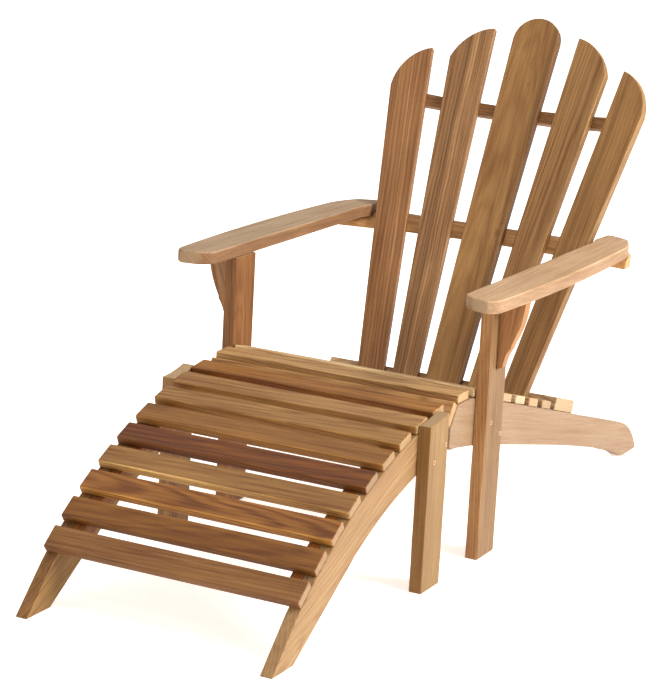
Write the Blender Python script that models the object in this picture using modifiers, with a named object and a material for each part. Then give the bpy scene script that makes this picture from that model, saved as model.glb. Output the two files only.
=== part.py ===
"""Adirondack chair with its matching footrest, in metres.

The sitter faces -Y, +X is the sitter's left, +Z is up and the floor is z = 0. The origin is the middle
of the footprint. Every distance called "reach" is measured backwards from the toe of the footrest.
"""

import math

import bmesh
import bpy
from mathutils import Vector

# Overall sizes
DEPTH = 1.752            # toe of the footrest to heel of the chair
RAIL_OUT = 0.274         # half the width over the chair's side rails; legs and arms stand outside it
BACK_TOP = 0.975         # top of the middle back slat
GAP = 0.0003             # between two pieces that touch

# Board sizes
RAIL_THICK = 0.026       # side rails of the chair and of the footrest
LEG_THICK = 0.027
LEG_WIDTH = 0.081
SLAT_THICK = 0.018       # seat and footrest slats
SLAT_WIDTH = 0.0505
BACK_THICK = 0.019       # back slats
ARM_THICK = 0.026
ROUNDING = 0.003         # eased edges of slats
EASING = 0.002           # eased edges of the other boards

# Footrest
FOOT_RAIL_OUT = RAIL_OUT - 0.006         # it is a little narrower than the chair
FOOT_SLAT_HALF = FOOT_RAIL_OUT - 0.0005
FOOT_SLATS = 9
FOOT_END = 0.664         # rear end of the footrest rails
POST_REACH = 0.547
POST_HEIGHT = 0.3335
ARCH_RADIUS = 1.053      # curve through the tops of the footrest slats
ARCH_MIDDLE = (0.7565, -0.699)
ARCH_FIRST = 0.106       # middle of the first slat
ARCH_LAST = 0.6365       # middle of the last slat
RAIL_DEPTH = 0.081       # width of the bent rail
CLEAT_THICK = 0.025
CLEAT_DEPTH = 0.034

# Chair base
SEAT_LEVEL = 0.3362      # level front part of the chair rail's upper edge
NOSE_REACH = 0.684       # foremost point of the chair rails
NOSE_TURN = math.radians(53)   # slope of the slat on the rails' rounded front
BROW = Vector((0.718, SEAT_LEVEL))       # where that slope meets the level part
SEAT_SLAT_HALF = RAIL_OUT - 0.0025
SEAT_SLATS = 7
SEAT_START = BROW.x - 0.0005 + SLAT_WIDTH / 2    # middle of the first level slat
SEAT_REAR = 1.2063       # rear edge of the last seat slat, in front of the back slats
SEAT_PITCH = (SEAT_REAR - SLAT_WIDTH / 2 - SEAT_START) / (SEAT_SLATS - 1)
BEND_START = 0.750       # the upper edge starts to fall here
BEND_LENGTH = 0.080
SEAT_FALL = 0.293        # fall of the seat per metre towards the back
LEG_REACH = 0.795

# Arms
ARM_TOP = 0.5615         # at the front end
ARM_FALL = 0.013
ARM_START = 0.675
ARM_END = 1.463
ARM_IN = RAIL_OUT + 0.0025
ARM_TAIL = RAIL_OUT - 0.0055             # the rear end steps in behind the back slats
ARM_OUT = RAIL_OUT + LEG_THICK + 0.0665
BRACKET_THICK = 0.024
BRACKET_REACH = 0.0555   # how far the bracket stands out at its top

# Back
BACK_ORIGIN = 1.417      # reach of the middle slat's face at BACK_LEVEL
BACK_LEVEL = 0.535
BACK_SLOPE = 0.5546      # run per rise, 29 degrees from upright
BACK_RADIUS = 1.170      # the slats stand on a shallow hollow of this radius
BACK_FOOT = 0.196        # lower ends of the slats
BACK_HALF = RAIL_OUT - 0.0625            # half the width over the slats at FAN_LEVEL
FAN_LEVEL = 0.3
CENTRE_WIDTH = 0.0836    # widths of the back slats at FAN_LEVEL
SECOND_WIDTH = 0.0605
OUTER_WIDTH = 0.0615
UPPER_BAR = (BACK_TOP - 0.210, BACK_TOP - 0.185)     # its edges, as heights behind the outer slats
UPPER_BAR_INSET = 0.0087 # its ends lie this far inside the outer slats' edges
UPPER_BAR_THICK = 0.020
ARM_RAIL = (0.500, 0.533)      # lower and upper faces; the arms are let into its ends
ARM_RAIL_HALF = ARM_OUT - 0.0175
ARM_RAIL_BACK = 1.456
BASE_BOARD_REAR = 1.335
BASE_THICK = 0.030

PLUG_RADIUS = 0.0048
PLUG_LENGTH = 0.008


def clear_scene():
    for old in list(bpy.data.objects):
        bpy.data.objects.remove(old)


def new_collection(name, hidden):
    group = bpy.data.collections.new(name)
    bpy.context.scene.collection.children.link(group)
    group.hide_render = hidden
    return group


def wood(name, colour):
    material = bpy.data.materials.new(name)
    material.use_nodes = True
    shader = material.node_tree.nodes["Principled BSDF"]
    shader.inputs["Base Color"].default_value = (*colour, 1.0)
    shader.inputs["Roughness"].default_value = 0.62
    shader.inputs["Metallic"].default_value = 0.0
    return material


# Base colours of the teak boards
HONEY = (0.40, 0.235, 0.115)
UMBER = (0.26, 0.135, 0.062)
STRAW = (0.50, 0.325, 0.175)


def solid(name, near, far, colour, easing=EASING, segments=2):
    """A closed board between two matching rings of corners, with eased edges."""
    mesh = bpy.data.meshes.new(name)
    work = bmesh.new()
    first = [work.verts.new(place(corner)) for corner in near]
    second = [work.verts.new(place(corner)) for corner in far]
    work.faces.new(first)
    work.faces.new(list(reversed(second)))
    count = len(first)
    for i in range(count):
        j = (i + 1) % count
        work.faces.new((first[j], first[i], second[i], second[j]))
    bmesh.ops.recalc_face_normals(work, faces=work.faces)
    work.to_mesh(mesh)
    work.free()
    board = bpy.data.objects.new(name, mesh)
    PARTS.objects.link(board)
    mesh.materials.append(wood(name + "_wood", colour))
    if easing:
        bevel = board.modifiers.new("eased_edges", "BEVEL")
        bevel.width = easing
        bevel.segments = segments
        bevel.limit_method = "ANGLE"
        bevel.angle_limit = math.radians(32)
    return board


def place(corner):
    """Turns (x, reach, z) into world metres."""
    return Vector((corner[0], corner[1] - DEPTH / 2, corner[2]))


def cut_away(board, cutter):
    """Takes the cutter's shape out of the board."""
    CUTTERS.objects.link(cutter)
    cutter.display_type = "WIRE"
    cutter.hide_render = True
    cut = board.modifiers.new(cutter.name, "BOOLEAN")
    cut.operation = "DIFFERENCE"
    cut.solver = "EXACT"
    cut.object = cutter


def upright_board(name, outline, side, inner, thick, colour, easing=EASING, segments=2):
    """A board standing fore and aft: its outline is (reach, z) and its inner face is at x = inner."""
    near = [(side * inner, reach, z) for reach, z in outline]
    far = [(side * (inner + thick), reach, z) for reach, z in outline]
    return solid(name, near, far, colour, easing, segments)


def bowed(start, end, rise, steps):
    """Points on the arc from start to end that stands out by rise to the left of the way there."""
    start = Vector(start)
    end = Vector(end)
    chord = end - start
    half = chord.length / 2
    radius = (half * half + rise * rise) / (2 * rise)
    left = Vector((-chord.y, chord.x)).normalized()
    middle = (start + end) / 2 + left * (rise - radius)
    reach = math.asin(min(1.0, half / abs(radius)))
    if abs(rise) > half:
        reach = math.pi - reach
    points = []
    for i in range(steps + 1):
        turn = reach - 2 * reach * i / steps
        if radius < 0:
            turn = -turn
        along = chord.normalized()
        points.append(middle + (left * math.cos(turn) - along * math.sin(turn)) * radius)
    return [(p.x, p.y) for p in points]


# ---------------------------------------------------------------- footrest


def arch_point(reach, inward):
    """The point under the curve of the slat tops, inward from it towards its centre."""
    turn = math.asin((reach - ARCH_MIDDLE[0]) / ARCH_RADIUS)
    radius = ARCH_RADIUS - inward
    return (ARCH_MIDDLE[0] + radius * math.sin(turn), ARCH_MIDDLE[1] + radius * math.cos(turn))


def arch(first, last, inward, steps):
    return [arch_point(first + (last - first) * i / steps, inward) for i in range(steps + 1)]


def slat(name, middle, tilt, half, colour):
    """A slat across the width: middle is the (reach, z) of its underside and tilt its rise angle."""
    along = Vector((math.cos(tilt), math.sin(tilt)))
    over = Vector((-math.sin(tilt), math.cos(tilt)))
    low = Vector(middle) + over * GAP
    wide = SLAT_WIDTH / 2
    corners = (
        low - along * wide,
        low + along * wide,
        low + along * wide + over * SLAT_THICK,
        low - along * wide + over * SLAT_THICK,
    )
    near = [(-half, corner.x, corner.y) for corner in corners]
    far = [(half, corner.x, corner.y) for corner in corners]
    return solid(name, near, far, colour, ROUNDING, 2)


def footrest():
    made = []
    under = SLAT_THICK
    top = arch(0.099, ARCH_LAST, under, 14)
    top.append((FOOT_END, arch_point(FOOT_END, under)[1]))
    belly = arch(FOOT_END, 0.262, under + RAIL_DEPTH, 12)
    outline = [(0.0, 0.0), arch_point(0.0724, under + 0.0008)]
    outline += top
    outline += belly
    outline += [(0.078, 0.0)]
    first = math.asin((ARCH_FIRST - ARCH_MIDDLE[0]) / ARCH_RADIUS)
    last = math.asin((ARCH_LAST - ARCH_MIDDLE[0]) / ARCH_RADIUS)
    for i in range(FOOT_SLATS):
        turn = first + (last - first) * i / (FOOT_SLATS - 1)
        radius = ARCH_RADIUS - under
        middle = (
            ARCH_MIDDLE[0] + radius * math.sin(turn),
            ARCH_MIDDLE[1] + radius * math.cos(turn),
        )
        made.append(slat(f"footrest_slat_{i + 1:02d}", middle, -turn, FOOT_SLAT_HALF, HONEY))
    post_top = []
    for i in range(7):
        post_top.append((POST_REACH + LEG_WIDTH * i / 6, POST_HEIGHT + 0.011 * (i / 6) ** 2))
    post = [(POST_REACH, 0.0), *post_top, (POST_REACH + LEG_WIDTH, 0.0)]
    cleat = arch(0.103, FOOT_END - 0.009, under + GAP, 12)
    cleat += arch(FOOT_END - 0.009, 0.130, under + CLEAT_DEPTH, 12)
    cleat += [arch_point(0.106, under + 0.012)]
    for side, label in ((1, "left"), (-1, "right")):
        inner = FOOT_RAIL_OUT - RAIL_THICK
        made.append(upright_board(f"footrest_rail_{label}", outline, side, inner, RAIL_THICK, STRAW))
        outside = FOOT_RAIL_OUT + GAP
        standing = upright_board(f"footrest_post_{label}", post, side, outside, LEG_THICK, STRAW)
        made.append(standing)
        spots = ((POST_REACH + LEG_WIDTH - 0.010, 0.284), (POST_REACH + 0.023, 0.259))
        made += plugs(f"footrest_plug_{label}", standing, side, outside + LEG_THICK, spots)
        strip_in = inner - GAP - CLEAT_THICK
        name = f"footrest_cleat_{label}"
        made.append(upright_board(name, cleat, side, strip_in, CLEAT_THICK, UMBER))
    return made


# ---------------------------------------------------------------- base of the chair


def seat_line(reach):
    """Height of the chair rail's upper edge."""
    past = reach - BEND_START
    if past <= 0:
        return SEAT_LEVEL
    if past <= BEND_LENGTH:
        return SEAT_LEVEL - SEAT_FALL * past * past / (2 * BEND_LENGTH)
    return SEAT_LEVEL - SEAT_FALL * (past - BEND_LENGTH / 2)


def seat_slope(reach):
    part = min(max((reach - BEND_START) / BEND_LENGTH, 0.0), 1.0)
    return -SEAT_FALL * part


def plugs(name, board, side, face, spots):
    """Round wooden plugs over the screw heads, each in its own bore in the board's outer face."""
    made = []
    for i, (reach, z) in enumerate(spots):
        cut_away(board, cylinder(f"{name}_bore_{i + 1}", side, face, reach, z, PLUG_RADIUS, 0.0))
        plug = cylinder(f"{name}_{i + 1}", side, face, reach, z, PLUG_RADIUS, 2 * GAP / 3)
        PARTS.objects.link(plug)
        plug.data.materials.append(wood(f"{name}_{i + 1}_wood", UMBER))
        made.append(plug)
    return made


def cylinder(name, side, face, reach, z, radius, slack):
    """A short round bar along X from the face into the board, or out past the face when it's a bore."""
    steps = 20
    inner = face - PLUG_LENGTH + (GAP if slack else 0.0)
    outer = face + (0.0002 if slack else 0.002)
    mesh = bpy.data.meshes.new(name)
    work = bmesh.new()
    rings = []
    for x in (inner, outer):
        ring = []
        for i in range(steps):
            turn = 2 * math.pi * i / steps
            across = (radius - slack) * math.cos(turn)
            up = (radius - slack) * math.sin(turn)
            ring.append(work.verts.new(place((side * x, reach + across, z + up))))
        work.faces.new(ring)
        rings.append(ring)
    for i in range(steps):
        j = (i + 1) % steps
        work.faces.new((rings[0][i], rings[0][j], rings[1][j], rings[1][i]))
    bmesh.ops.recalc_face_normals(work, faces=work.faces)
    work.to_mesh(mesh)
    work.free()
    return bpy.data.objects.new(name, mesh)


def arm_base(reach):
    """Height of the underside of the arm."""
    return ARM_TOP - ARM_FALL * (reach - ARM_START) - ARM_THICK


def chair_base():
    lean = Vector((math.cos(NOSE_TURN), math.sin(NOSE_TURN)))
    cheek = BROW - lean * (SLAT_WIDTH + 0.003)
    outline = [(NOSE_REACH + 0.006, 0.2505), (NOSE_REACH, 0.262), (cheek.x, cheek.y)]
    outline += [(BROW.x, BROW.y), (BEND_START, SEAT_LEVEL)]
    for i in range(1, 5):
        reach = BEND_START + BEND_LENGTH * i / 4
        outline.append((reach, seat_line(reach)))
    outline.append((DEPTH - 0.112, seat_line(DEPTH - 0.112)))
    outline += bowed((DEPTH - 0.102, seat_line(DEPTH - 0.102) - 0.0015), (DEPTH, 0.0), 0.014, 8)
    outline += [(DEPTH - 0.084, 0.0)]
    outline += bowed((DEPTH - 0.097, 0.0035), (DEPTH - 0.200, 0.0415), -0.0035, 4)
    outline += [(1.534, 0.049), (1.469, 0.068), (1.343, 0.102), (1.223, 0.1325), (0.945, 0.2005)]
    outline += [(0.800, 0.2335), (0.722, 0.2472)]
    leg = [
        (LEG_REACH, 0.0),
        (LEG_REACH, arm_base(LEG_REACH) - GAP),
        (LEG_REACH + LEG_WIDTH, arm_base(LEG_REACH + LEG_WIDTH) - GAP),
        (LEG_REACH + LEG_WIDTH, 0.0),
    ]
    for side, label in ((1, "left"), (-1, "right")):
        inner = RAIL_OUT - RAIL_THICK
        upright_board(f"side_rail_{label}", outline, side, inner, RAIL_THICK, STRAW)
        outside = RAIL_OUT + GAP
        name = f"front_leg_{label}"
        standing = upright_board(name, leg, side, outside, LEG_THICK, STRAW)
        spots = ((LEG_REACH + 0.024, 0.281), (LEG_REACH + LEG_WIDTH - 0.009, 0.248))
        plugs(f"leg_plug_{label}", standing, side, outside + LEG_THICK, spots)
        bracket(f"arm_bracket_{label}", side, outside + LEG_THICK + GAP)
        arm(f"arm_{label}", side)
    middle = BROW - lean * (SLAT_WIDTH / 2 + 0.0015)
    slat("seat_slat_nose", middle, NOSE_TURN, SEAT_SLAT_HALF, HONEY)
    for i in range(SEAT_SLATS):
        reach = SEAT_START + SEAT_PITCH * i
        tilt = math.atan(seat_slope(reach))
        slat(f"seat_slat_{i + 1}", (reach, seat_line(reach)), tilt, SEAT_SLAT_HALF, HONEY)


def bracket(name, side, inner):
    """The curved bracket under an arm, standing across the leg's outer face."""
    middle = LEG_REACH + LEG_WIDTH / 2
    top = arm_base(middle + BRACKET_THICK / 2) - GAP
    out = inner + BRACKET_REACH
    outline = [(inner, top - 0.144), (inner, top), (out, top)]
    outline += bowed((out - 0.001, top - 0.009), (out - 0.026, top - 0.091), 0.0045, 5)
    outline += bowed((out - 0.0265, top - 0.097), (inner + 0.0125, top - 0.139), -0.003, 4)
    near = [(side * x, middle - BRACKET_THICK / 2, z) for x, z in outline]
    far = [(side * x, middle + BRACKET_THICK / 2, z) for x, z in outline]
    solid(name, near, far, HONEY)


def arm(name, side):
    """A flat arm seen from above: straight inside, bowed outside, rounded nose, stepped in at the back."""
    outline = bowed((ARM_IN, ARM_START + 0.038), (ARM_IN + 0.040, ARM_START + 0.004), -0.007, 4)
    outline += bowed((ARM_OUT - 0.030, ARM_START), (ARM_OUT - 0.011, ARM_START + 0.030), -0.005, 4)
    outline += bowed((ARM_OUT - 0.010, ARM_START + 0.040), (ARM_OUT - 0.011, ARM_END - 0.113), -0.0105, 10)
    outline += bowed((ARM_OUT - 0.012, ARM_END - 0.101), (ARM_OUT - 0.0415, ARM_END - 0.017), -0.004, 5)
    outline += [(ARM_IN + 0.0135, ARM_END), (ARM_TAIL + 0.0035, ARM_END)]
    outline += [(ARM_TAIL, ARM_END - 0.067), (ARM_IN, ARM_END - 0.092)]
    near = [(side * x, reach, arm_base(reach)) for x, reach in outline]
    far = [(side * x, reach, arm_base(reach) + ARM_THICK) for x, reach in outline]
    solid(name, near, far, STRAW, 0.0035, 2)


# ---------------------------------------------------------------- back

# Each back slat: where its middle is, then its inner and outer edges at FAN_LEVEL and their spread per
# metre of rise. The middle slat's edges are both taken from its centre line.
SPACE = (BACK_HALF - CENTRE_WIDTH / 2 - SECOND_WIDTH - OUTER_WIDTH) / 2
SECOND_IN = CENTRE_WIDTH / 2 + SPACE
OUTER_IN = BACK_HALF - OUTER_WIDTH
SLAT_PLAN = {
    "outer": (BACK_HALF + 0.0075, OUTER_IN, 0.137, BACK_HALF, 0.180),
    "second": (SECOND_IN + 0.048, SECOND_IN, 0.056, SECOND_IN + SECOND_WIDTH, 0.1085),
    "centre": (0.0, -CENTRE_WIDTH / 2, -0.021, CENTRE_WIDTH / 2, 0.021),
}


def face_reach(middle, x, z):
    """Reach of the front face of the slat whose middle is given."""
    hollow = middle * middle / (2 * BACK_RADIUS) + middle / BACK_RADIUS * (x - middle)
    return BACK_ORIGIN + BACK_SLOPE * (z - BACK_LEVEL) - hollow


def behind(middle):
    """How far back the slat's rear face is from its front face, along Y."""
    return BACK_THICK * Vector((middle / BACK_RADIUS, 1.0, -BACK_SLOPE)).length


def edges(kind, z):
    _, inner, inner_spread, outer, outer_spread = SLAT_PLAN[kind]
    rise = z - FAN_LEVEL
    return inner + inner_spread * rise, outer + outer_spread * rise


def back_slat(name, kind, side, outline):
    middle = SLAT_PLAN[kind][0]
    backward = Vector((middle / BACK_RADIUS, 1.0, -BACK_SLOPE)).normalized() * BACK_THICK
    near = []
    far = []
    for x, z in outline:
        front = Vector((x, face_reach(middle, x, z), z))
        rear = front + backward
        near.append((side * front.x, front.y, front.z))
        far.append((side * rear.x, rear.y, rear.z))
    solid(name, near, far, HONEY, EASING, 2)


def corner_outline(kind, shoulder, tip, rise):
    """A slat whose top falls in an arc from its inner corner to its outer edge."""
    foot_in, foot_out = edges(kind, BACK_FOOT)
    outline = [(foot_out, BACK_FOOT)]
    start = (edges(kind, shoulder)[1], shoulder)
    end = (edges(kind, tip)[0], tip)
    outline += bowed(start, end, -rise, 9)
    outline += [(foot_in, BACK_FOOT)]
    return outline


def centre_outline(shoulder, top):
    """The middle slat, with a fully rounded top."""
    half = edges("centre", shoulder)[1]
    outline = [(edges("centre", BACK_FOOT)[1], BACK_FOOT)]
    for i in range(13):
        turn = math.pi * i / 12
        outline.append((half * math.cos(turn), shoulder + (top - shoulder) * math.sin(turn)))
    outline.append((edges("centre", BACK_FOOT)[0], BACK_FOOT))
    return outline


def hollow_front(z, half, clearance):
    """Front edge of a cross board as (x, reach) at height z, flat behind each slat and right to left."""
    points = []
    for kind in ("outer", "second", "centre"):
        middle = SLAT_PLAN[kind][0]
        inner, outer = edges(kind, z)
        spans = (half, inner - 0.005) if kind == "outer" else (outer + 0.005, inner - 0.005)
        if kind == "centre":
            spans = (outer + 0.003,)
        for x in spans:
            points.append((x, face_reach(middle, x, z) + behind(middle) + clearance))
    return points + [(-x, reach) for x, reach in reversed(points)]


def arm_rail():
    """The board behind the slats that the arms are let into. Its hollow front leans with the slats."""
    mid = sum(ARM_RAIL) / 2
    front = hollow_front(mid, ARM_RAIL_HALF, GAP)
    tail = front[-1][1] + 0.024
    rings = []
    for z in ARM_RAIL:
        shift = BACK_SLOPE * (z - mid)
        ring = [(x, reach + shift, z) for x, reach in front]
        ring += [(-ARM_RAIL_HALF, tail, z), (0.026 - ARM_RAIL_HALF, ARM_RAIL_BACK, z)]
        ring += [(ARM_RAIL_HALF - 0.026, ARM_RAIL_BACK, z), (ARM_RAIL_HALF, tail, z)]
        rings.append(ring)
    board = solid("arm_rail", rings[0], rings[1], HONEY, EASING, 1)
    for side, label in ((1, "left"), (-1, "right")):
        rings = []
        for x in (ARM_TAIL - 0.002, ARM_RAIL_HALF + 0.010):
            ends = (ARM_RAIL_BACK - 0.126, ARM_RAIL_BACK + 0.044)
            ring = [(side * x, reach, arm_base(reach) - GAP) for reach in ends]
            ring += [(side * x, reach, ARM_RAIL[1] + 0.030) for reach in reversed(ends)]
            rings.append(ring)
        housing = solid(f"arm_housing_{label}", rings[0], rings[1], HONEY, 0.0)
        PARTS.objects.unlink(housing)
        cut_away(board, housing)


def back():
    for side, label in ((1, "left"), (-1, "right")):
        outline = corner_outline("outer", BACK_TOP - 0.169, BACK_TOP - 0.084, 0.020)
        back_slat(f"back_slat_outer_{label}", "outer", side, outline)
        outline = corner_outline("second", BACK_TOP - 0.099, BACK_TOP - 0.031, 0.016)
        back_slat(f"back_slat_second_{label}", "second", side, outline)
    back_slat("back_slat_centre", "centre", 1, centre_outline(BACK_TOP - 0.047, BACK_TOP))

    upper_bar()
    arm_rail()
    base_board()


def upper_bar():
    """The bar behind the slats: it lies square to them, so its hollow middle also sits lower."""
    lean = math.atan(BACK_SLOPE)
    half = edges("outer", UPPER_BAR[1])[1] - UPPER_BAR_INSET
    rings = []
    for height in UPPER_BAR:
        outer = SLAT_PLAN["outer"][0]
        rest = face_reach(outer, outer, height) + behind(outer) - BACK_ORIGIN
        level = rest * math.sin(lean) + height * math.cos(lean)
        ring = []
        for x, reach in hollow_front(height, half, GAP):
            run = reach - BACK_ORIGIN - BACK_SLOPE * height
            z = (level - run * math.sin(lean)) / (BACK_SLOPE * math.sin(lean) + math.cos(lean))
            ring.append((x, BACK_ORIGIN + run + BACK_SLOPE * z, z))
        deep = UPPER_BAR_THICK + 0.003
        for x, reach, z in reversed(ring[::3]):
            ring.append((x, reach + deep * math.cos(lean), z - deep * math.sin(lean)))
        rings.append(ring)
    solid("back_upper_bar", rings[0], rings[1], UMBER, EASING, 1)


def base_board():
    """The board across the side rails that the feet of the back slats stand against."""
    rings = []
    for lift in (GAP, BASE_THICK):
        ring = []
        for x, _ in hollow_front(0.22, SEAT_SLAT_HALF, GAP):
            ring.append(on_seat_board(x, lift))
        for x in (-SEAT_SLAT_HALF, SEAT_SLAT_HALF):
            reach = BASE_BOARD_REAR + lift * SEAT_FALL
            ring.append((x, reach, seat_line(reach) + lift))
        rings.append(ring)
    solid("back_base_board", rings[0], rings[1], HONEY, EASING, 1)


def on_seat_board(x, lift):
    """Where the slats' rear faces meet a plane lifted above the upper edges of the side rails."""
    kind = "centre"
    for name in ("second", "outer"):
        if abs(x) >= edges(name, 0.22)[0] - 0.0051:
            kind = name
    middle = SLAT_PLAN[kind][0]
    z = 0.22
    for _ in range(8):
        reach = face_reach(middle, abs(x), z) + behind(middle) + GAP
        z = seat_line(reach) + lift
    return (x, reach, z)


clear_scene()
PARTS = new_collection("adirondack_chair", False)
CUTTERS = new_collection("cutters", True)

SLIDE = bpy.data.objects.new("footrest_slide", None)
SLIDE.location = place((0.0, FOOT_END, 0.2))
PARTS.objects.link(SLIDE)
bpy.context.view_layer.update()
for piece in footrest():
    piece.parent = SLIDE
    piece.matrix_parent_inverse = SLIDE.matrix_world.inverted()
chair_base()
back()
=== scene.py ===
"""Looks of the teak adirondack chair and its footrest: solid wood grain in every board, studio light and camera."""

import math

import bpy
from mathutils import Matrix, Vector


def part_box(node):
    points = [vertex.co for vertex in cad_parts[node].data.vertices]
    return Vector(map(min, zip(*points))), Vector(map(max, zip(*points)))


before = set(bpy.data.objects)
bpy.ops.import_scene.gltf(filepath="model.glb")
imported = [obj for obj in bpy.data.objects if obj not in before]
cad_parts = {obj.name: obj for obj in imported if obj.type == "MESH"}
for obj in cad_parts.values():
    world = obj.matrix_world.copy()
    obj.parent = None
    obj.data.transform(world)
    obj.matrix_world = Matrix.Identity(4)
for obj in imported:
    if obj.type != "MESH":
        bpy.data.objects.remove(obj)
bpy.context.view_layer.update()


# ---------------------------------------------------------------- named values

# How often each noise repeats in a metre: along the grain, across the board and through it
WANDER_RATE = (2.1, 11.0, 11.0)
STREAK_RATE = (2.4, 150.0, 150.0)
BROAD_RATE = (4.2, 21.0, 21.0)
BAND_RATE = (0.9, 34.0, 34.0)
FIBRE_RATE = (14.0, 1100.0, 1100.0)
PORE_RATE = (70.0, 1900.0, 1900.0)
CRUMB_RATE = (900.0, 900.0, 900.0)
UNEVEN_RATE = 46.0          # changes in ring width, per metre of radius

RING_WANDER = (0.0, 0.022, 0.022)       # metres that the rings stray along a board
RING_UNEVEN = 2.2                       # rings that a change in ring width may add
RING_EDGE = 1.7                         # higher makes the late wood of a ring narrower
KNOT_STRETCH = 0.45                     # a knot is longer along the grain
KNOT_SWELL = 1.1                        # how far the rings part round it, in knot sizes
SEED_STEP = (1.731, 0.613, 0.377)       # moves each board to its own place in the noise

# Factors on the tone, in linear light
BAND_SHADE = (0.34, 0.27, 0.22)
STREAK_SHADE = (0.36, 0.29, 0.22)
STREAK_PALE = (1.9, 2.1, 2.4)
KNOT_SHADE = (0.33, 0.24, 0.16)
PORE_SHADE = (0.38, 0.32, 0.27)
# Painted highlight on the rounded edges
PAINTED_EDGE_HIGHLIGHT = (1.9, 2.0, 2.1)
DRY_END_AND_PAINTED_LIGHT = (0.26, 0.20, 0.12)            # added to half the tone on a cut end: dry end grain and painted light
TINT = ((0.16, (0.29, 0.22, 0.16)), (0.50, (0.50, 0.50, 0.50)), (0.84, (0.70, 0.76, 0.84)))

WOOD_SPECULAR = 0.32
GRAIN_DEPTH = 0.0004
PLUG_GRAIN_DEPTH = 0.0003
PLUG_REACH = 5.3                        # radius in millimetres where a plug's seam ends

# Directions of the board faces that get painted light and shade: a lit or shaded copy of the board's tone
SIDES = {"left": (1.0, 0.0, 0.0), "front": (0.0, -1.0, 0.0), "top": (0.0, 0.0, 1.0)}

# Each board: its tone and the painted light and shade of a side, as sRGB colours, then what sets its figure apart.
# Lengths are in metres.
BOARDS = {
    "footrest_slat_01": dict(tone=(123, 82, 42), front=(104, 66, 30), figure=0.5, pith=(0.08, -0.10)),
    "footrest_slat_02": dict(tone=(110, 67, 22), figure=0.8, pith=(0.02, -0.07)),
    "footrest_slat_03": dict(tone=(124, 77, 30), front=(158, 108, 48), figure=1.5, pith=(-0.01, -0.04), dark=0.3),
    "footrest_slat_04": dict(tone=(124, 86, 44), front=(172, 132, 76), figure=0.7, pith=(0.05, -0.09)),
    "footrest_slat_05": dict(
        tone=(95, 50, 12), front=(104, 60, 22), figure=0.9, dark=0.3,
        streaks=((0.004, 0.006, -0.45), (-0.014, 0.004, 0.5)),
    ),
    "footrest_slat_06": dict(tone=(117, 76, 32), front=(142, 96, 44), figure=0.6, pith=(0.06, -0.12)),
    "footrest_slat_07": dict(tone=(130, 92, 48), front=(142, 98, 46), figure=0.9, dark=0.25),
    "footrest_slat_08": dict(tone=(137, 99, 56), front=(140, 98, 48), figure=0.8),
    "footrest_slat_09": dict(tone=(131, 84, 32), front=(124, 74, 24), figure=0.8, dark=0.3),
    "seat_slat_nose": dict(tone=(155, 112, 64)),
    "seat_slat_1": dict(tone=(159, 121, 75), dark=0.2),
    "seat_slat_2": dict(tone=(188, 153, 108)),
    "seat_slat_3": dict(tone=(160, 120, 80)),
    "seat_slat_4": dict(tone=(157, 124, 85), dark=0.3),
    "seat_slat_5": dict(tone=(176, 148, 114)),
    "seat_slat_6": dict(tone=(156, 117, 78)),
    "seat_slat_7": dict(tone=(132, 98, 66)),
    "back_slat_outer_right": dict(
        tone=(121, 80, 44), figure=0.9, pith=(0.12, -0.02), lean=(0.0, 0.0), ring=0.008,
        streaks=((-0.016, 0.0016, -0.5), (-0.004, 0.0012, -0.4), (0.012, 0.001, -0.3)),
    ),
    "back_slat_second_right": dict(
        tone=(126, 89, 53), figure=1.1, pith=(0.06, -0.02), lean=(0.01, 0.0), dark=0.3,
        streaks=((0.008, 0.004, 0.75), (0.019, 0.003, 0.5), (-0.004, 0.006, -0.5)),
    ),
    "back_slat_centre": dict(
        tone=(134, 95, 51), left=(96, 60, 26), figure=0.5, pith=(0.01, -0.05), dark=0.2,
        knots=((-0.08, -0.034, 0.016), (0.32, -0.006, 0.005), (0.27, -0.012, 0.003)),
        streaks=((-0.042, 0.010, 0.8),),
    ),
    "back_slat_second_left": dict(
        tone=(137, 99, 56), figure=0.9, pith=(-0.03, -0.03), lean=(0.03, 0.0), dark=0.3,
        streaks=((-0.004, 0.005, 0.55), (-0.016, 0.003, 0.3)),
    ),
    "back_slat_outer_left": dict(
        tone=(131, 92, 49), left=(130, 98, 62), figure=0.6, pith=(0.07, -0.06), streaks=((0.016, 0.008, 0.35),),
    ),
    "back_upper_bar": dict(tone=(137, 95, 54), figure=0.6, dark=0.3),
    "arm_rail": dict(tone=(162, 117, 71), figure=0.6),
    "back_base_board": dict(tone=(151, 120, 84)),
    "arm_left": dict(
        tone=(143, 110, 79), top=(165, 132, 98), figure=0.5, pith=(0.10, -0.12), contrast=0.65,
        knots=((0.330, 0.010, 0.004),),
    ),
    "arm_right": dict(tone=(127, 92, 61), top=(148, 121, 92), figure=0.6, pith=(0.10, -0.12), contrast=0.7),
    "front_leg_left": dict(
        tone=(152, 108, 64), left=(118, 87, 54), figure=0.8, pith=(0.06, -0.03), contrast=0.75,
        streaks=((0.0, 0.002, -0.4),),
    ),
    "front_leg_right": dict(tone=(123, 80, 41), figure=0.6),
    "footrest_post_left": dict(tone=(120, 83, 38), left=(126, 95, 55), figure=0.5, pith=(0.09, -0.05), contrast=0.6),
    "footrest_post_right": dict(tone=(138, 102, 60), left=(116, 78, 38), figure=0.5),
    "footrest_rail_left": dict(tone=(140, 107, 69), figure=0.8, pith=(-0.05, -0.08), contrast=0.7),
    "footrest_rail_right": dict(tone=(116, 78, 38), left=(129, 94, 48), figure=0.8),
    "side_rail_left": dict(tone=(139, 111, 84), figure=0.4, pith=(0.10, -0.12), contrast=0.4),
    "side_rail_right": dict(tone=(140, 106, 70), figure=0.6),
    "arm_bracket_left": dict(tone=(142, 96, 56), figure=0.7),
    "arm_bracket_right": dict(tone=(154, 114, 76), figure=0.6),
    "footrest_cleat_left": dict(tone=(148, 90, 36)),
    "footrest_cleat_right": dict(tone=(128, 75, 28)),
}

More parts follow.
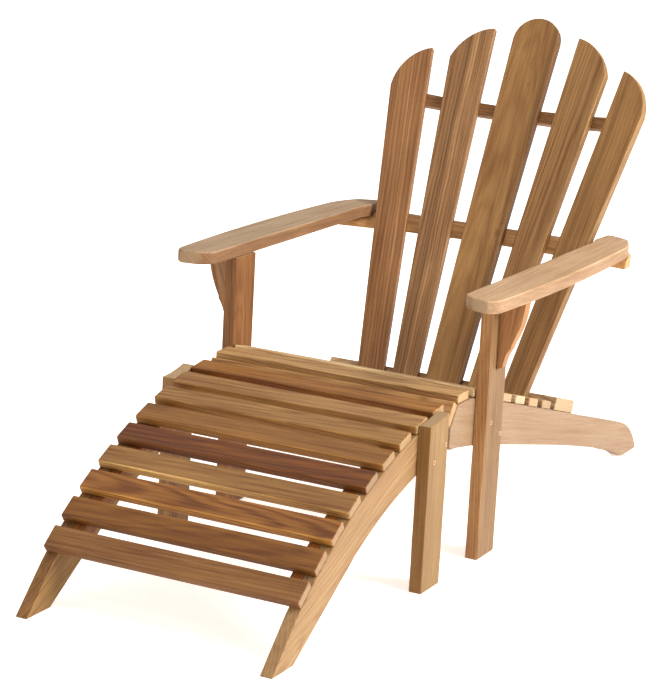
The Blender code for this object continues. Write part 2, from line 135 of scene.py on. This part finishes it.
# A plug from its heart to its seam: place along the radius, and sRGB colour
PLUG_RINGS = (
    (0.0, (58, 34, 20)),
    (0.46, (66, 40, 24)),
    (0.62, (196, 152, 108)),
    (0.88, (204, 160, 116)),
    (0.97, (88, 58, 36)),
)

STUDIO_WHITE = (0.93, 0.90, 0.86)
FLOOR_GLOW = 0.68
FLOOR_HALF = 60.0
FLOOR_DROP = 0.0005         # keeps the floor clear of the feet

# The studio round the chair, from straight down (0) to straight up (1)
SKY = (
    (0.0, (0.62, 0.56, 0.46)),
    (0.50, (0.66, 0.60, 0.50)),
    (0.62, (0.66, 0.60, 0.50)),
    (0.85, (0.98, 0.99, 1.0)),
    (1.0, (0.98, 0.99, 1.0)),
)

CAMERA_PLACE = (2.2456, -4.6814, 1.7075)
CAMERA_RIGHT = Vector((0.88771, 0.45737, 0.05274))
CAMERA_AHEAD = Vector((-0.43161, 0.86658, -0.25051))
SENSOR_WIDTH = 36.0
LENS = 135.27
CLIP_END = 200.0


# ---------------------------------------------------------------- helpers


def linear(colour):
    """An sRGB colour of 0 to 255 as linear light."""
    out = []
    for part in colour:
        part = part / 255
        out.append(part / 12.92 if part <= 0.04045 else ((part + 0.055) / 1.055) ** 2.4)
    return out


class Graph:
    """Shorthand for building a node tree."""

    def __init__(self, tree):
        self.tree = tree
        tree.nodes.clear()

    def node(self, kind, inputs=(), **settings):
        made = self.tree.nodes.new(kind)
        for key, value in settings.items():
            setattr(made, key, value)
        for key, value in dict(inputs).items():
            self.put(made.inputs[key], value)
        return made

    def put(self, socket, value):
        if isinstance(value, bpy.types.NodeSocket):
            self.tree.links.new(value, socket)
        else:
            socket.default_value = value

    def math(self, operation, *values):
        return self.node("ShaderNodeMath", dict(enumerate(values)), operation=operation).outputs[0]

    def vector(self, operation, *values):
        made = self.node("ShaderNodeVectorMath", dict(enumerate(values)), operation=operation)
        return made.outputs["Value" if operation in ("LENGTH", "DOT_PRODUCT") else "Vector"]

    def noise(self, vector, rate, detail, roughness):
        """A noise texture at rate repeats in a metre, one rate for each axis."""
        scaled = self.vector("MULTIPLY", vector, rate)
        inputs = {"Vector": scaled, "Scale": 1.0, "Detail": detail, "Roughness": roughness}
        return self.node("ShaderNodeTexNoise", inputs)

    def remap(self, value, low, high, to_low=0.0, to_high=1.0, kind="LINEAR"):
        inputs = {"Value": value, "From Min": low, "From Max": high, "To Min": to_low, "To Max": to_high}
        return self.node("ShaderNodeMapRange", inputs, interpolation_type=kind).outputs[0]

    def mix(self, factor, a, b, blend="MIX"):
        """Mixes two colours, each a socket or three numbers of linear light."""
        made = self.node("ShaderNodeMix", data_type="RGBA", blend_type=blend)
        self.put(made.inputs[0], factor)
        for index, value in ((6, a), (7, b)):
            self.put(made.inputs[index], value if isinstance(value, bpy.types.NodeSocket) else (*value, 1.0))
        return made.outputs[2]

    def ramp(self, value, stops):
        made = self.node("ShaderNodeValToRGB", {"Fac": value})
        ramp = made.color_ramp
        while len(ramp.elements) < len(stops):
            ramp.elements.new(0.5)
        for element, (place, colour) in zip(ramp.elements, stops):
            element.position = place
            element.color = (*colour, 1.0)
        return made.outputs["Color"]


def new_material(name):
    """A material with an empty node tree, and the shorthand for filling it."""
    material = bpy.data.materials.new(name)
    material.use_nodes = True
    return material, Graph(material.node_tree)


def board_axes(obj):
    """Centre, grain direction, width direction and thickness direction of a board, from its own faces."""
    upward = Vector((0.21, -0.33, 0.92))    # no board face is edge-on to it, so it picks one of two opposite normals
    steps = 12                              # normals that round to the same twelfths count as one side
    centre = Vector()
    total = 0.0
    flats = {}
    for face in obj.data.polygons:
        centre += face.center * face.area
        total += face.area
        normal = face.normal if face.normal.dot(upward) > 0 else -face.normal
        entry = flats.setdefault(tuple(round(part * steps) for part in normal), [0.0, Vector()])
        entry[0] += face.area
        entry[1] += normal * face.area
    centre /= total
    thick = max(flats.values(), key=lambda entry: entry[0])[1].normalized()

    # The grain runs the way the faces spread furthest, found by repeated multiplication
    spread = Matrix(((0, 0, 0), (0, 0, 0), (0, 0, 0)))
    for face in obj.data.polygons:
        away = face.center - centre
        away -= thick * away.dot(thick)
        for i in range(3):
            for j in range(3):
                spread[i][j] += away[i] * away[j] * face.area
    grain = Vector((0.3, 0.5, 0.8))
    grain -= thick * grain.dot(thick)
    for _ in range(60):
        grain = (spread @ grain).normalized()
    grain = (grain - thick * grain.dot(thick)).normalized()
    if grain.dot(Vector((1, 1, 1))) < 0:
        grain = -grain
    return centre, grain, thick.cross(grain), thick


def dress(obj, material):
    """Gives a CAD node its finish and lets its eased edges shade round."""
    obj.data.materials.clear()
    obj.data.materials.append(material)
    for face in obj.data.polygons:
        face.use_smooth = True
    weld = obj.modifiers.new("weld", "WELD")
    weld.merge_threshold = 0.00002
    even = obj.modifiers.new("even_normals", "WEIGHTED_NORMAL")
    even.mode = "FACE_AREA"
    even.weight = 80
    even.keep_sharp = False


# ---------------------------------------------------------------- wood


def growth_rings(g, bent, axes, pith, lean, ring, knots):
    """The rings round the pith line (0 to 1), and the hearts of the knots (0 to 1, or None)."""
    along, aside, through = axes
    across = g.math("MULTIPLY_ADD", along, lean[0], g.math("SUBTRACT", aside, pith[0]))
    deep = g.math("MULTIPLY_ADD", along, lean[1], g.math("SUBTRACT", through, pith[1]))
    radius = g.vector("LENGTH", g.node("ShaderNodeCombineXYZ", {1: across, 2: deep}).outputs[0])
    core = None
    for *place, size in knots:
        near = g.vector("SUBTRACT", bent, (*place, 0.0))
        near = g.vector("LENGTH", g.vector("MULTIPLY", near, (KNOT_STRETCH / size, 1 / size, 0.0)))
        swell = g.math("EXPONENT", g.math("MULTIPLY", g.math("POWER", near, 2.0), -1.0))
        radius = g.math("MULTIPLY_ADD", swell, size * KNOT_SWELL, radius)
        heart = g.remap(near, 0.10, 0.42, 1.0, 0.0, "SMOOTHSTEP")
        core = heart if core is None else g.math("MAXIMUM", core, heart)
    uneven_at = {"W": g.math("MULTIPLY", radius, UNEVEN_RATE), "Scale": 1.0}
    uneven = g.node("ShaderNodeTexNoise", uneven_at, noise_dimensions="1D")
    phase = g.math("MULTIPLY_ADD", uneven.outputs[0], RING_UNEVEN, g.math("DIVIDE", radius, ring))
    wave = g.math("SINE", g.math("MULTIPLY", phase, 2 * math.pi))
    return g.math("POWER", g.remap(wave, -1.0, 1.0), RING_EDGE), core


def darker(g, colour, mask, shade):
    return g.mix(mask, colour, shade, "MULTIPLY")


def paler(g, colour, mask, gain):
    return g.mix(mask, colour, g.vector("MULTIPLY", colour, gain))


def teak(obj, tone, left=None, front=None, top=None, figure=1.0, pith=(0.03, -0.06), lean=(0.02, 0.05), ring=0.006,
         dark=0.0, knots=(), streaks=(), contrast=1.0, seed=0):
    """Solid teak: growth rings round a pith line, with fibres, streaks, pores, end grain partly paler from painted
    light, and a painted highlight on the rounded edges.

    left, front and top give that side of the board painted light and shade: a lit or shaded copy of the tone.
    pith is where the heart of the log passes: across and through the board from its middle. lean is how that
    drifts along it, and ring is the width of a growth ring. figure is the strength of the rings, dark that of
    broad dark bands, and contrast that of the whole figure. Each knot is (along, across, size), and each
    streak (place across the board, width, strength), where a strength below zero makes it pale.
    """
    centre, grain, wide, thick = board_axes(obj)
    turn = Matrix((grain, wide, thick))
    material, g = new_material(obj.name + "_teak")
    coords = g.node("ShaderNodeTexCoord")
    normal = coords.outputs["Normal"]
    place = g.node("ShaderNodeMapping", {"Vector": coords.outputs["Object"]})
    place.inputs["Rotation"].default_value = turn.to_euler("XYZ")
    place.inputs["Location"].default_value = -(turn @ centre)
    point = place.outputs["Vector"]
    shifted = g.vector("ADD", point, tuple(seed * step for step in SEED_STEP))

    # The rings wander along the board, and swell round knots
    wander = g.noise(shifted, WANDER_RATE, 3.0, 0.55)
    wander = g.vector("SUBTRACT", wander.outputs["Color"], (0.5, 0.5, 0.5))
    bent = g.vector("ADD", point, g.vector("MULTIPLY", wander, RING_WANDER))
    axes = g.node("ShaderNodeSeparateXYZ", {0: bent}).outputs
    rings, core = growth_rings(g, bent, axes, pith, lean, ring, knots)

    streak = g.noise(g.vector("ADD", bent, (seed * 0.9, 0, 0)), STREAK_RATE, 6.0, 0.68).outputs[0]
    broad = g.noise(shifted, BROAD_RATE, 3.0, 0.55).outputs[0]
    fibre = g.noise(shifted, FIBRE_RATE, 3.0, 0.6).outputs[0]
    pores = g.noise(shifted, PORE_RATE, 1.0, 0.5).outputs[0]

    # The figure as one value round 0.5, then as a factor round 1 on the tone
    value = g.math("MULTIPLY", rings, -0.26 * figure)
    value = g.math("MULTIPLY_ADD", streak, 1.15, value)
    value = g.math("MULTIPLY_ADD", broad, 0.85, value)
    value = g.math("ADD", value, 0.11 * figure - 0.5)
    value = g.remap(value, 0.0, 1.0, 0.5 - 0.5 * contrast, 0.5 + 0.5 * contrast)
    ground = linear(tone)
    # Painted light and shade: a face turned left, to the front or up takes a lit or shaded copy of the tone
    for side, other in (("left", left), ("front", front), ("top", top)):
        if other:
            toward = g.remap(g.vector("DOT_PRODUCT", normal, SIDES[side]), 0.55, 0.80, kind="SMOOTHSTEP")
            ground = g.mix(toward, ground, linear(other))
    tint = g.ramp(value, TINT)
    colour = g.mix(1.0, ground, g.vector("ADD", tint, tint), "MULTIPLY")

    if dark:
        bands = g.noise(g.vector("ADD", bent, (0, seed, seed)), BAND_RATE, 2.0, 0.5)
        colour = darker(g, colour, g.remap(bands.outputs[0], 0.52, 0.70, 0.0, dark, "SMOOTHSTEP"), BAND_SHADE)
    for where, width, strength in streaks:
        off = g.math("DIVIDE", g.math("SUBTRACT", axes[1], where), width)
        line = g.math("EXPONENT", g.math("MULTIPLY", g.math("POWER", off, 2.0), -1.0))
        line = g.math("MULTIPLY", line, g.remap(broad, 0.30, 0.62, 0.25 * abs(strength), abs(strength)))
        colour = darker(g, colour, line, STREAK_SHADE) if strength > 0 else paler(g, colour, line, STREAK_PALE)
    if core is not None:
        colour = darker(g, colour, g.math("MULTIPLY", core, 0.55), KNOT_SHADE)
    shade = g.remap(fibre, 0.3, 0.7, 0.90, 1.10)
    colour = darker(g, colour, 1.0, g.node("ShaderNodeCombineColor", {0: shade, 1: shade, 2: shade}).outputs[0])
    pore = g.remap(pores, 0.62, 0.72, 0.0, 0.45, "SMOOTHSTEP")
    colour = darker(g, colour, pore, PORE_SHADE)

    # Cut ends are drier and paler, partly painted light, and the rounded edges get a painted highlight
    facing = g.math("ABSOLUTE", g.vector("DOT_PRODUCT", normal, tuple(grain)))
    end = g.remap(facing, 0.75, 0.97, 0.0, 0.62, "SMOOTHSTEP")
    pale = [0.5 * part + extra for part, extra in zip(linear(tone), DRY_END_AND_PAINTED_LIGHT)]
    late = [0.62 * part for part in pale]
    colour = g.mix(end, colour, g.mix(g.math("MULTIPLY", rings, 0.45), pale, late))
    flat = g.math("ABSOLUTE", g.vector("DOT_PRODUCT", normal, tuple(thick)))
    # Painted highlight: the rounded edges between a face and a side are paler, in patches along the board
    edge_highlight_mask = g.math("MULTIPLY", g.remap(flat, 0.12, 0.35), g.remap(flat, 0.98, 0.80))
    edge_highlight_mask = g.math("MULTIPLY", edge_highlight_mask, g.remap(broad, 0.40, 0.62, 0.10, 0.42))
    colour = paler(g, colour, edge_highlight_mask, PAINTED_EDGE_HIGHLIGHT)

    rough = g.math("MULTIPLY_ADD", streak, -0.14, 0.66)
    rough = g.math("MULTIPLY_ADD", pore, 0.3, rough)
    height = g.math("MULTIPLY_ADD", rings, -0.30, g.math("MULTIPLY", fibre, 0.55))
    height = g.math("MULTIPLY_ADD", pore, -0.9, height)
    bump = g.node("ShaderNodeBump", {"Height": height, "Strength": 0.35, "Distance": GRAIN_DEPTH})
    shader = g.node("ShaderNodeBsdfPrincipled", {"Base Color": colour, "Roughness": rough, "Normal": bump.outputs[0]})
    shader.inputs["Specular IOR Level"].default_value = WOOD_SPECULAR
    g.node("ShaderNodeOutputMaterial", {"Surface": shader.outputs[0]})
    dress(obj, material)


def plug_wood(obj):
    """A plug of cross-cut teak: a dark heart in a paler ring, with a fine dark seam round it."""
    low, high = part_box(obj.name)
    centre = (low + high) / 2
    material, g = new_material(obj.name + "_teak")
    coords = g.node("ShaderNodeTexCoord").outputs["Object"]
    away = g.vector("MULTIPLY", g.vector("SUBTRACT", coords, tuple(centre)), (0.0, 1000.0, 1000.0))
    crumbs = g.noise(coords, CRUMB_RATE, 3.0, 0.6).outputs[0]
    far = g.math("MULTIPLY_ADD", crumbs, 0.8, g.vector("LENGTH", away))
    stops = [(place, linear(colour)) for place, colour in PLUG_RINGS]
    colour = g.ramp(g.math("DIVIDE", far, PLUG_REACH), stops)
    bump = g.node("ShaderNodeBump", {"Height": crumbs, "Strength": 0.3, "Distance": PLUG_GRAIN_DEPTH})
    inputs = {"Base Color": colour, "Roughness": 0.68, "Normal": bump.outputs[0]}
    shader = g.node("ShaderNodeBsdfPrincipled", inputs)
    g.node("ShaderNodeOutputMaterial", {"Surface": shader.outputs[0]})
    dress(obj, material)


for number, (name, node) in enumerate(sorted(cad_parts.items())):
    if "plug" in name:
        plug_wood(node)
    else:
        teak(node, seed=number + 1, **BOARDS[name])


# ---------------------------------------------------------------- floor, light and camera


def stage_floor():
    mesh = bpy.data.meshes.new("studio_floor")
    corners = [(-FLOOR_HALF, -FLOOR_HALF, 0), (FLOOR_HALF, -FLOOR_HALF, 0)]
    corners += [(FLOOR_HALF, FLOOR_HALF, 0), (-FLOOR_HALF, FLOOR_HALF, 0)]
    mesh.from_pydata(corners, [], [(0, 1, 2, 3)])
    floor = bpy.data.objects.new("studio_floor", mesh)
    floor.location.z = -FLOOR_DROP
    bpy.context.scene.collection.objects.link(floor)

    white = bpy.data.materials.new("studio_white")
    white.use_nodes = True
    shader = white.node_tree.nodes["Principled BSDF"]
    shader.inputs["Base Color"].default_value = (*STUDIO_WHITE, 1.0)
    shader.inputs["Roughness"].default_value = 0.9
    shader.inputs["Specular IOR Level"].default_value = 0.0
    shader.inputs["Emission Color"].default_value = (*STUDIO_WHITE, 1.0)
    shader.inputs["Emission Strength"].default_value = FLOOR_GLOW
    mesh.materials.append(white)


def softbox(name, place, target, size, power, colour):
    """A soft rectangular light at place, facing target; its power is in watts."""
    light = bpy.data.lights.new(name, "AREA")
    light.shape = "RECTANGLE"
    light.size, light.size_y = size
    light.energy = power
    light.color = colour
    lamp = bpy.data.objects.new(name, light)
    lamp.location = place
    lamp.rotation_euler = (Vector(place) - Vector(target)).to_track_quat("Z", "Y").to_euler()
    bpy.context.scene.collection.objects.link(lamp)


def sky():
    """A warm, dimmer ring at eye level under a white ceiling."""
    world = bpy.data.worlds.new("studio")
    world.use_nodes = True
    g = Graph(world.node_tree)
    way = g.node("ShaderNodeTexCoord").outputs["Generated"]
    rise = g.node("ShaderNodeSeparateXYZ", {0: way}).outputs[2]
    colour = g.ramp(g.remap(rise, -1.0, 1.0), SKY)
    shine = g.node("ShaderNodeBackground", {"Color": colour, "Strength": 1.0})
    g.node("ShaderNodeOutputWorld", {"Surface": shine.outputs[0]})
    bpy.context.scene.world = world


def camera():
    data = bpy.data.cameras.new("camera")
    data.sensor_width = SENSOR_WIDTH
    data.lens = LENS
    data.clip_end = CLIP_END
    made = bpy.data.objects.new("camera", data)
    turn = Matrix((CAMERA_RIGHT, CAMERA_RIGHT.cross(CAMERA_AHEAD), -CAMERA_AHEAD)).transposed().to_4x4()
    made.matrix_world = Matrix.Translation(CAMERA_PLACE) @ turn
    bpy.context.scene.collection.objects.link(made)
    bpy.context.scene.camera = made


stage_floor()
sky()
softbox("key", (4.6, 0.2, 3.4), (0.0, 0.0, 0.35), (3.2, 2.4), 430.0, (1.0, 1.0, 1.0))
softbox("front_fill", (-1.5, -6.0, 3.2), (0.0, 0.0, 0.3), (4.0, 3.0), 18.0, (1.0, 0.93, 0.84))
camera()
bpy.context.scene.view_settings.view_transform = "Standard"
